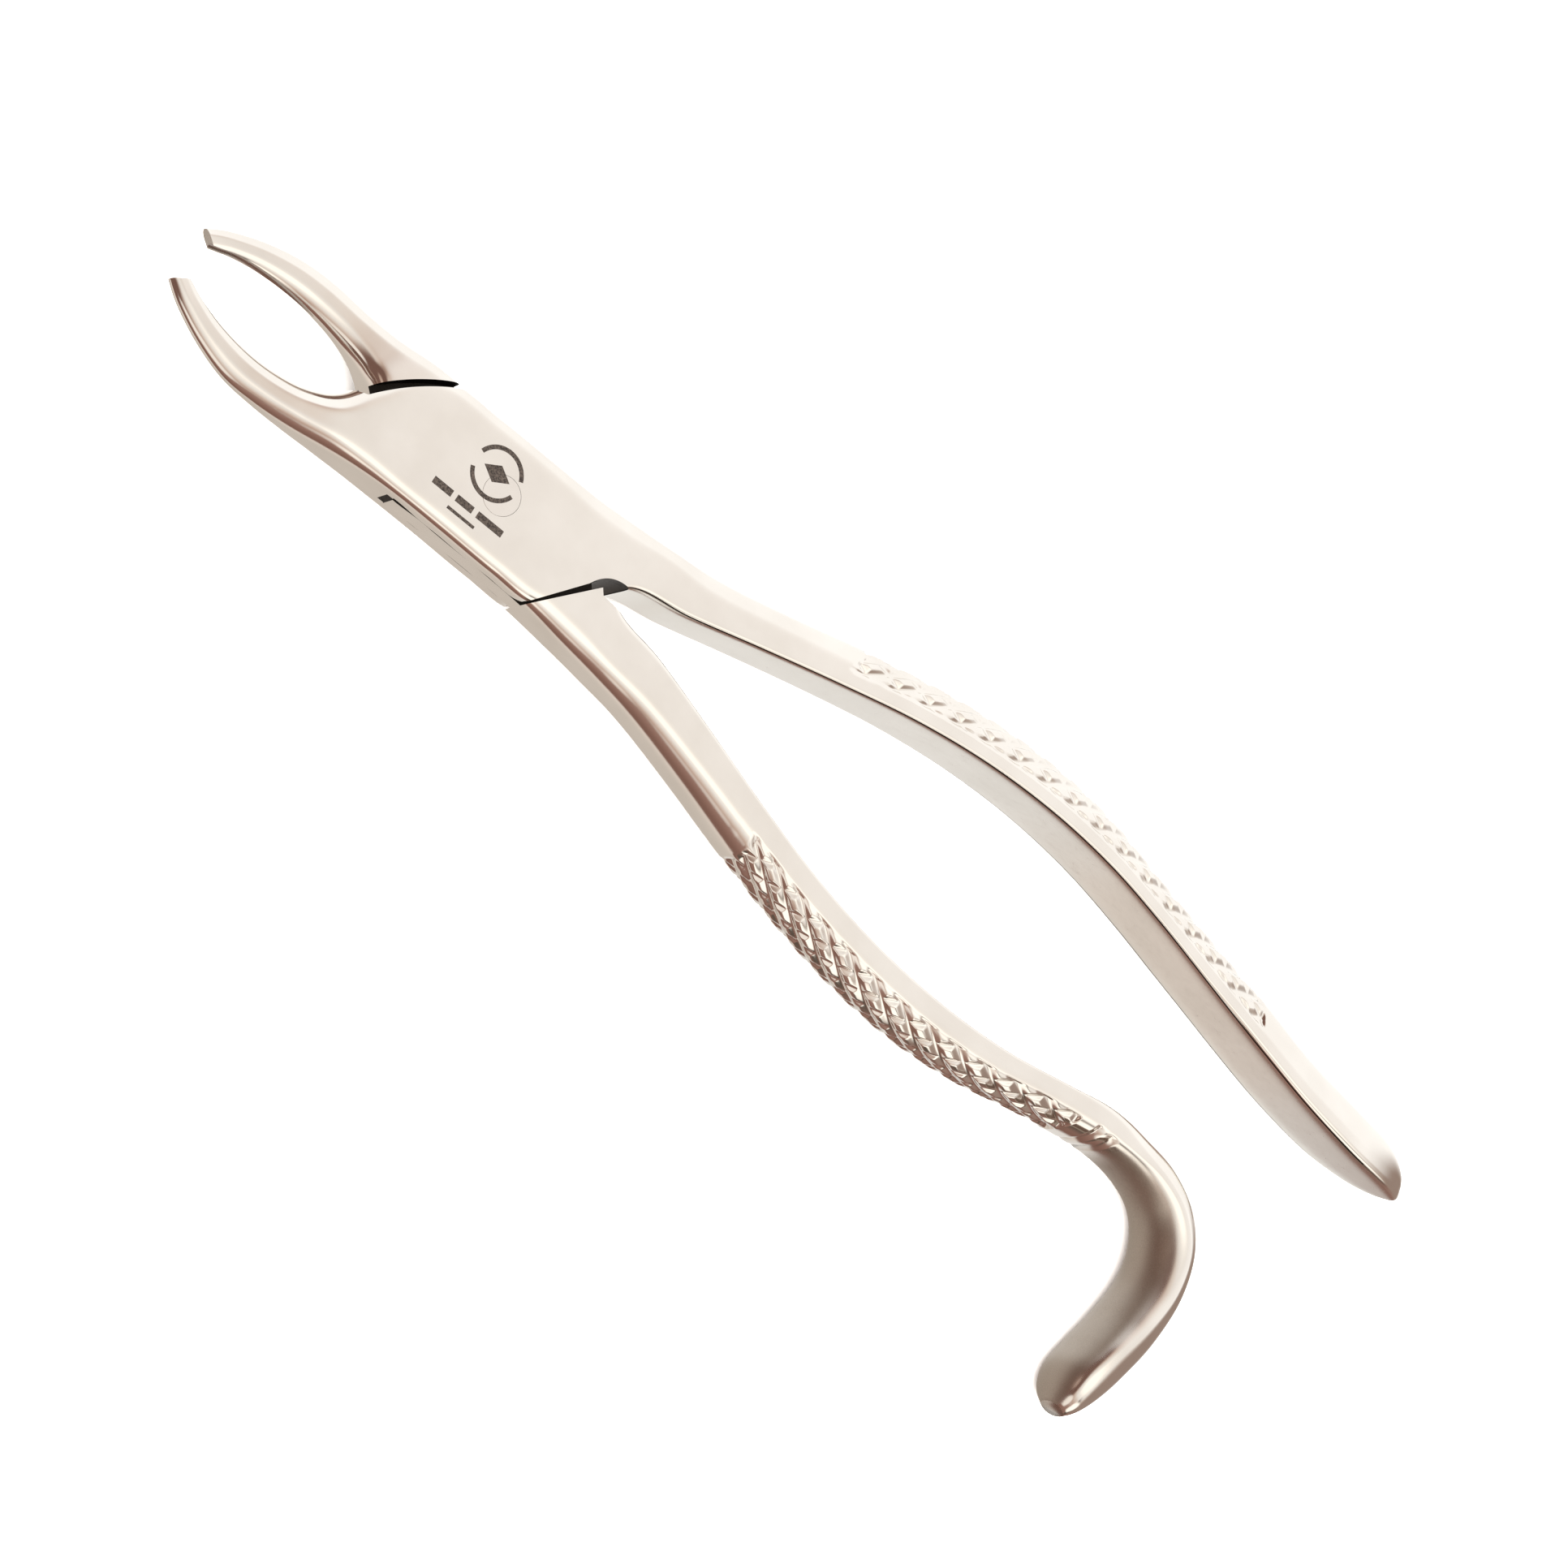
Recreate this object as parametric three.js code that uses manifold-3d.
// Hook-handled tooth extraction forceps with a box joint, in millimetres, +Z up.
//
// The origin is where the pivot axis meets the flat back face of the joint. +X points to the beak
// tips, +Z runs along the pivot pin to the front face, and the finger hook reaches towards +Y.
// The instrument has three physical pieces: the half whose two cheeks form the box, the half
// whose thin tongue passes through that box, and the rivet that pins them together.
//
// Both halves start as one smooth loft. It is described in a shared half frame, with the half
// closed, its beak on +Y and its handle on -Y. The tongue half is the mirror image of that.
import * as THREE from 'three';
import { mergeVertices } from 'three/addons/utils/BufferGeometryUtils.js';
import Module from 'manifold-3d';

// ---- driving dimensions ----
const JOINT_THICKNESS = 7.6;      // front face to back face of the box joint
const JOINT_HALF_WIDTH = 6.9;     // side of the joint to the pivot axis
const TONGUE_SHARE = 1 / 3;       // tongue and both cheeks each take a third of the thickness
const SLIDE_GAP = 0.15;           // between a tongue face and the cheek beside it
const EDGE_GAP = 0.3;             // between a tongue edge and the slot wall it faces
const SHOULDER_GAP = 0.25;        // between a shoulder and a cheek edge, fully closed
const REST_OPENING = 4.0;         // degrees between fully closed and the rest pose
const PIN_RADIUS = 2.2;
const PIN_SEGMENTS = 32;
const PIN_FIT = 0.1;              // radial room around the pin in the cheeks
const PIN_RUNNING_FIT = 0.15;     // radial room around the pin in the tongue
const GOUGE_RADIUS = 1.5;         // hollow on the biting side of each beak
const GOUGE_DEPTH = 0.6;
const GOUGE_FADE = 0.2;           // how much shallower the hollow gets at each station of its heel
const GOUGE_FULL_STATIONS = 2;    // stations from the tip over which the hollow is at full depth
const GOUGE_STATIONS = 5;         // stations from the tip that the hollow runs along
const FACE_FLAT = 0.965;          // a section's top and bottom are cut flat at this share of its height

const SECTION_POINTS = 24;
const STEPS_PER_STATION = 3;      // loft rows from one station to the next

const MID = JOINT_THICKNESS / 2;
const SLOT_LOW = MID - JOINT_THICKNESS * TONGUE_SHARE / 2;
const SLOT_HIGH = MID + JOINT_THICKNESS * TONGUE_SHARE / 2;
const W = JOINT_HALF_WIDTH;

// ---- loft stations ----
// Each station is a cross-section that stands upright on a line in plan. left is the line's +Y end
// and right its -Y end, so the biting side of the beak and the rounded outer side of the handle
// are both on the right. half is half of the section's height. bulgeL and bulgeR are superellipse
// exponents of the two sides: 2 is round and 8 is nearly flat. crest says where the section is
// highest, from -1 at the right to 1 at the left.
const station = (left, right, half, bulgeL, bulgeR, crest) => [
  ...left, ...right, half, bulgeL, bulgeR, crest,
];

const BOX_BEAK = [
  station([40.0, 1.9], [37.9, 0.5], 0.9, 2.4, 2.6, 0),
  station([37.9, 3.5], [36.0, 1.5], 1.05, 2.3, 2.4, 0),
  station([34.3, 5.4], [33.1, 2.5], 1.2, 2.3, 2.3, 0),
  station([30.2, 6.8], [29.5, 3.1], 1.45, 2.3, 2.2, 0),
  station([26.2, 7.15], [26.1, 3.1], 1.95, 2.4, 2.1, 0.1),
  station([22.0, 7.1], [22.7, 2.5], 2.7, 2.6, 2.1, 0.15),
  station([17.6, 6.8], [19.6, 0.9], MID - 0.25, 3.4, 2.3, 0.1),
  station([13.5, 6.6], [16.5, -2.8], MID, 5.5, 3.6, 0),
];
const TONGUE_BEAK = [
  station([40.0, 1.9], [37.9, 0.5], 0.9, 2.4, 2.6, 0),
  station([37.9, 3.4], [36.0, 1.35], 1.05, 2.2, 2.4, 0),
  station([34.3, 5.1], [33.1, 2.2], 1.2, 2.2, 2.4, 0),
  station([30.2, 6.3], [29.5, 2.65], 1.4, 2.2, 2.4, 0),
  station([26.2, 6.7], [26.1, 2.6], 1.65, 2.2, 2.4, 0),
  station([21.8, 6.5], [22.4, 2.1], 2.1, 2.4, 2.4, 0),
  station([17.6, 6.4], [19.0, 1.15], MID - 0.9, 3.0, 3.2, 0),
  station([13.3, 6.6], [16.3, -0.7], MID, 4.5, 4.5, 0),
];
// both sides of the joint's middle are flush with the other half's at rest
const JOINT = [
  station([9.0, 6.59], [11.2, -6.75], MID, 8.0, 8.0, 0),
  station([3.5, 6.78], [4.0, -7.04], MID, 8.0, 8.0, 0),
  station([-3.5, 7.1], [-3.5, -6.86], MID, 8.0, 8.0, 0),
  station([-9.5, 7.0], [-9.5, -6.85], MID, 8.0, 6.4, 0),
  station([-14.0, 3.4], [-14.6, -W - 0.3], MID, 8.0, 4.8, 0),
];
// the tongue half's handle, whose first station both halves share
const SHANK = [
  station([-17.6, -0.6], [-20.0, -W - 0.7], MID, 8.0, 3.9, 0.05),
  station([-24.5, -1.8], [-26.5, -8.3], 3.85, 8.0, 3.3, 0.1),
  station([-33.5, -4.1], [-35.2, -10.1], 4.0, 8.0, 3.0, 0.2),
  station([-43.5, -6.8], [-45.2, -12.5], 4.2, 8.0, 2.7, 0.3),
  station([-53.5, -9.1], [-54.8, -14.5], 4.4, 8.0, 2.4, 0.35),
  station([-63.5, -10.4], [-64.0, -15.7], 4.5, 8.0, 2.3, 0.4),
  station([-73.5, -10.6], [-73.3, -15.9], 4.55, 8.0, 2.3, 0.4),
  station([-83.0, -9.8], [-82.2, -14.9], 4.6, 8.0, 2.3, 0.4),
  station([-92.0, -8.0], [-90.8, -12.9], 4.6, 8.0, 2.3, 0.4),
];
const STRAIGHT_END = [
  station([-24.5, -1.9], [-26.5, -8.3], 3.85, 6.5, 3.3, 0.3),
  station([-33.5, -4.1], [-35.2, -10.1], 4.05, 6.5, 3.0, 0.4),
  station([-43.5, -6.4], [-45.2, -12.5], 4.3, 6.5, 2.7, 0.5),
  station([-53.5, -8.4], [-54.8, -14.5], 4.6, 6.5, 2.4, 0.55),
  station([-63.5, -9.6], [-64.0, -15.7], 4.75, 6.5, 2.3, 0.6),
  station([-73.5, -9.8], [-73.3, -15.9], 4.85, 6.5, 2.3, 0.6),
  station([-83.0, -9.0], [-82.2, -14.9], 4.9, 6.5, 2.3, 0.6),
  station([-92.0, -7.3], [-90.8, -12.9], 4.9, 6.5, 2.3, 0.6),
  station([-101.5, -5.0], [-99.9, -11.0], 4.95, 6.5, 2.3, 0.6),
  station([-111.0, -2.7], [-109.6, -9.0], 5.1, 6.5, 2.3, 0.6),
  station([-120.0, -0.7], [-118.8, -6.8], 5.1, 6.5, 2.3, 0.55),
  station([-128.5, 0.6], [-127.9, -5.5], 4.9, 6.0, 2.3, 0.5),
  station([-134.5, 0.9], [-134.0, -4.7], 4.1, 5.5, 2.3, 0.4),
  station([-138.0, 0.8], [-137.6, -3.2], 2.8, 4.0, 2.3, 0.3),
  station([-139.7, 0.5], [-139.5, -1.3], 1.1, 2.6, 2.3, 0.2),
];
const HOOK_END = [
  station([-98.5, -6.5], [-98.0, -11.4], 4.75, 5.0, 2.3, 0.1),
  station([-104.0, -6.1], [-103.2, -10.8], 4.8, 3.0, 2.2, -0.15),
  station([-109.8, -6.6], [-107.4, -11.3], 4.75, 2.5, 2.2, -0.1),
  station([-114.8, -8.9], [-110.6, -12.8], 4.8, 2.2, 2.2, 0.05),
  station([-118.1, -13.0], [-112.6, -15.6], 4.9, 2.0, 2.2, 0.2),
  station([-119.6, -18.6], [-113.5, -19.3], 5.1, 2.0, 2.2, 0.1),
  station([-119.4, -24.8], [-113.0, -24.0], 5.3, 2.0, 2.2, -0.1),
  station([-118.0, -30.4], [-111.9, -28.7], 5.3, 2.1, 2.2, -0.25),
  station([-116.6, -34.1], [-111.1, -32.2], 4.8, 2.2, 2.3, -0.2),
  station([-115.4, -36.3], [-111.4, -34.9], 3.7, 2.2, 2.3, -0.1),
  station([-114.5, -37.3], [-112.3, -36.6], 1.9, 2.2, 2.3, 0),
];

// ---- boolean help ----
const wasm = await Module();
wasm.setup();

function toSolid(geometry) {
  const bare = geometry.clone();
  bare.deleteAttribute('normal');
  bare.deleteAttribute('uv');
  const merged = mergeVertices(bare, 1e-5);
  return new wasm.Manifold(new wasm.Mesh({
    numProp: 3,
    vertProperties: new Float32Array(merged.attributes.position.array),
    triVerts: new Uint32Array(merged.index.array),
  }));
}

function toGeometry(solid) {
  const mesh = solid.getMesh();
  const geometry = new THREE.BufferGeometry();
  geometry.setAttribute('position', new THREE.BufferAttribute(mesh.vertProperties, 3));
  geometry.setIndex(new THREE.BufferAttribute(mesh.triVerts, 1));
  geometry.computeVertexNormals();
  return geometry;
}

// an upright prism over a plan outline, between two heights
function prism(outline, low, high) {
  const shape = new THREE.Shape(outline.map(([x, y]) => new THREE.Vector2(x, y)));
  const geometry = new THREE.ExtrudeGeometry(shape, { depth: high - low, bevelEnabled: false });
  geometry.translate(0, 0, low);
  return toSolid(geometry);
}

// a cutting tool's lowest and highest level, well past both faces of the joint
const LOW = -20;
const HIGH = 30;

// ---- the loft ----
const catmull = (a, b, c, d, t) => 0.5 * (2 * b + (c - a) * t
  + (2 * a - 5 * b + 4 * c - d) * t * t + (3 * b - a - 3 * c + d) * t * t * t);

function refine(stations) {
  const out = [];
  for (let i = 0; i < stations.length - 1; i += 1) {
    const around = [i - 1, i, i + 1, i + 2].map(
      (k) => stations[Math.min(Math.max(k, 0), stations.length - 1)]);
    for (let s = 0; s < STEPS_PER_STATION; s += 1) {
      const t = s / STEPS_PER_STATION;
      out.push(around[0].map((_, n) => catmull(...around.map((row) => row[n]), t)));
    }
  }
  out.push(stations[stations.length - 1]);
  return out;
}

// one cross-section: a superellipse with a different exponent on each side of its crest
function section([lx, ly, rx, ry, half, bulgeL, bulgeR, crest]) {
  const points = [];
  for (let k = 0; k < SECTION_POINTS; k += 1) {
    const angle = 2 * Math.PI * (k + 0.5) / SECTION_POINTS;
    const c = Math.cos(angle);
    const s = Math.sin(angle);
    const bulge = c > 0 ? bulgeL : bulgeR;
    const reach = c > 0 ? 1 - crest : 1 + crest;
    const across = crest + Math.sign(c) * reach * Math.abs(c) ** (2 / bulge);
    const rise = Math.sign(s) * Math.min(Math.abs(s) ** (2 / bulge), FACE_FLAT) / FACE_FLAT;
    const share = (across + 1) / 2;
    points.push([rx + (lx - rx) * share, ry + (ly - ry) * share, MID + half * rise]);
  }
  return points;
}

function loft(stations) {
  const rows = refine(stations).map(section);
  const position = rows.flat(2);
  const index = [];
  const n = SECTION_POINTS;
  for (let i = 0; i < rows.length - 1; i += 1) {
    for (let k = 0; k < n; k += 1) {
      const a = i * n + k;
      const b = i * n + (k + 1) % n;
      index.push(a, b + n, b, a, a + n, b + n);
    }
  }
  const last = (rows.length - 1) * n;
  for (let k = 1; k < n - 1; k += 1) {
    index.push(0, k, k + 1);
    index.push(last, last + k + 1, last + k);
  }
  const geometry = new THREE.BufferGeometry();
  geometry.setAttribute('position', new THREE.Float32BufferAttribute(position, 3));
  geometry.setIndex(index);
  return toSolid(geometry);
}

// ---- plan curves of the box joint, in the half frame ----
// The cheek edge at the beak end is a shallow arch from the beak crotch to the far side, and the
// one at the handle end is straight, with a fillet into the handle's inner face. Mirrored in Y,
// the same curves are the slot walls in the box half and the shoulders on the tongue half, whose
// corner at the handle end is sharp.
const BEAK_CROTCH = [17.4, 0];
const BEAK_EDGE_FOOT = [8.6, -7.2];
const BEAK_EDGE_ARCH = 0.55;
const GRIP_EDGE_FOOT = [-8.2, 7.6];
const GRIP_EDGE_TURN = [-13.1, 1.75];
const GRIP_EDGE_END = [-15.3, -0.88];
const GRIP_CROTCH = [-17.3, -0.5];
const TONGUE_GRIP_CROTCH = [-19.0, -1.0];
const GRIP_FILLET_ARCH = 0.8;
const CURVE_STEPS = 6;
const CLEAR_SIDE = 14;            // a line parallel to X beyond either side of the joint
const BEAK_CLEARED_TO = 21;       // the beak side is cleared along X from here ...
const BEAK_CLEARED_FROM = 4;      // ... back to here
const GRIP_CLEARED_TO = -4;
const CROTCH_OVERRUN = 0.4;       // how far the cut past the grip crotch leans on along X
const CROTCH_LIFT = 0.2;

// points of an arc through from and to whose middle stands off the chord by rise, to its left
function arch(from, to, rise, steps) {
  const [dx, dy] = [to[0] - from[0], to[1] - from[1]];
  const chord = Math.hypot(dx, dy);
  const points = [];
  for (let i = 0; i <= steps; i += 1) {
    const t = i / steps;
    const off = 4 * rise * t * (1 - t) / chord;
    points.push([from[0] + dx * t - dy * off, from[1] + dy * t + dx * off]);
  }
  return points;
}

const push = (point, by) => {
  const r = Math.hypot(...point);
  return [point[0] * (1 + by / r), point[1] * (1 + by / r)];
};
const flip = (outline) => outline.map(([x, y]) => [x, -y]);

// the two edges of the joint's middle, moved out from the pivot by a gap
function beakEdge(gap) {
  return arch(BEAK_EDGE_FOOT, BEAK_CROTCH, -BEAK_EDGE_ARCH, CURVE_STEPS).map((p) => push(p, gap));
}
const gripEdge = (gap) => [GRIP_EDGE_FOOT, GRIP_EDGE_END].map((p) => push(p, gap));
const filletEdge = () => [
  GRIP_EDGE_FOOT,
  ...arch(GRIP_EDGE_TURN, GRIP_CROTCH, GRIP_FILLET_ARCH, CURVE_STEPS),
];

// what a half loses beyond its own edges, where the other half's beak and handle stand
function cornersBeyond(solid, gap, grip) {
  const beakSide = [
    ...beakEdge(gap),
    [BEAK_CLEARED_TO, CROTCH_LIFT], [BEAK_CLEARED_TO, -CLEAR_SIDE], [BEAK_CLEARED_FROM, -CLEAR_SIDE],
  ];
  const gripSide = [
    ...grip,
    [grip.at(-1)[0] - CROTCH_OVERRUN, CLEAR_SIDE], [GRIP_CLEARED_TO, CLEAR_SIDE],
  ];
  return solid.subtract(prism(beakSide, LOW, HIGH)).subtract(prism(gripSide, LOW, HIGH));
}

// the middle of the joint in plan, between the mirrored edges and open to both sides
function middle(gap, low, high) {
  const beak = flip(beakEdge(gap));
  const grip = flip(gripEdge(gap));
  const outline = [
    ...beak, [BEAK_CROTCH[0] + gap, -CLEAR_SIDE], [grip[0][0], -CLEAR_SIDE],
    ...grip, [grip[1][0], CLEAR_SIDE], [beak[0][0], CLEAR_SIDE],
  ];
  return prism(outline, low, high);
}

const hole = (radius) => {
  const geometry = new THREE.CylinderGeometry(radius, radius, HIGH - LOW, PIN_SEGMENTS);
  geometry.rotateX(Math.PI / 2);
  return toSolid(geometry);
};

// the hollow along the biting side of a beak, open at its tip
function gouge(beak) {
  const lift = GOUGE_RADIUS - GOUGE_DEPTH;
  const line = beak.slice(0, GOUGE_STATIONS).map(([lx, ly, rx, ry], i) => {
    const width = Math.hypot(lx - rx, ly - ry);
    const off = (lift + Math.max(0, i + 1 - GOUGE_FULL_STATIONS) * GOUGE_FADE) / width;
    return new THREE.Vector3(rx + (rx - lx) * off, ry + (ry - ly) * off, MID);
  });
  const start = line[0].clone().add(line[0]).sub(line[1]);
  const path = new THREE.CatmullRomCurve3([start, ...line]);
  const circle = new THREE.Shape().absarc(0, 0, GOUGE_RADIUS, 0, 2 * Math.PI);
  const settings = { extrudePath: path, steps: 16, curveSegments: 10 };
  return toSolid(new THREE.ExtrudeGeometry(circle, settings));
}

// ---- the three pieces ----
function boxHalf() {
  const whole = loft([...BOX_BEAK, ...JOINT, SHANK[0], ...STRAIGHT_END]);
  const body = cornersBeyond(whole, 0, filletEdge());
  return toGeometry(body
    .subtract(middle(0, SLOT_LOW, SLOT_HIGH))
    .subtract(hole(PIN_RADIUS + PIN_FIT))
    .subtract(gouge(BOX_BEAK)));
}

function tongueHalf() {
  const whole = loft([...TONGUE_BEAK, ...JOINT, ...SHANK, ...HOOK_END]);
  const body = cornersBeyond(whole, -EDGE_GAP, [...gripEdge(-EDGE_GAP), TONGUE_GRIP_CROTCH]);
  const geometry = toGeometry(body
    .subtract(middle(SHOULDER_GAP, LOW, SLOT_LOW + SLIDE_GAP))
    .subtract(middle(SHOULDER_GAP, SLOT_HIGH - SLIDE_GAP, HIGH))
    .subtract(hole(PIN_RADIUS + PIN_RUNNING_FIT))
    .subtract(gouge(TONGUE_BEAK)));
  geometry.scale(1, -1, 1);
  const turned = geometry.index.array;
  for (let i = 0; i < turned.length; i += 3) {
    [turned[i + 1], turned[i + 2]] = [turned[i + 2], turned[i + 1]];
  }
  geometry.computeVertexNormals();
  return geometry;
}

function jointPin() {
  const geometry = new THREE.CylinderGeometry(PIN_RADIUS, PIN_RADIUS, JOINT_THICKNESS, PIN_SEGMENTS);
  geometry.rotateX(Math.PI / 2);
  geometry.translate(0, 0, MID);
  return geometry;
}

// ---- assembly, at the rest opening ----
const steel = (color, roughness) => new THREE.MeshStandardMaterial({ color, roughness, metalness: 1 });

function place(name, geometry, material, turn) {
  const mesh = new THREE.Mesh(geometry, material);
  mesh.name = name;
  mesh.rotation.z = THREE.MathUtils.degToRad(turn);
  return mesh;
}

const forceps = new THREE.Group();
forceps.add(
  place('box_half', boxHalf(), steel(0xd9d2c8, 0.28), REST_OPENING / 2),
  place('tongue_half', tongueHalf(), steel(0xd4ccc2, 0.28), -REST_OPENING / 2),
  place('joint_pin', jointPin(), steel(0xcfc8be, 0.32), REST_OPENING / 2),
);

export default forceps;
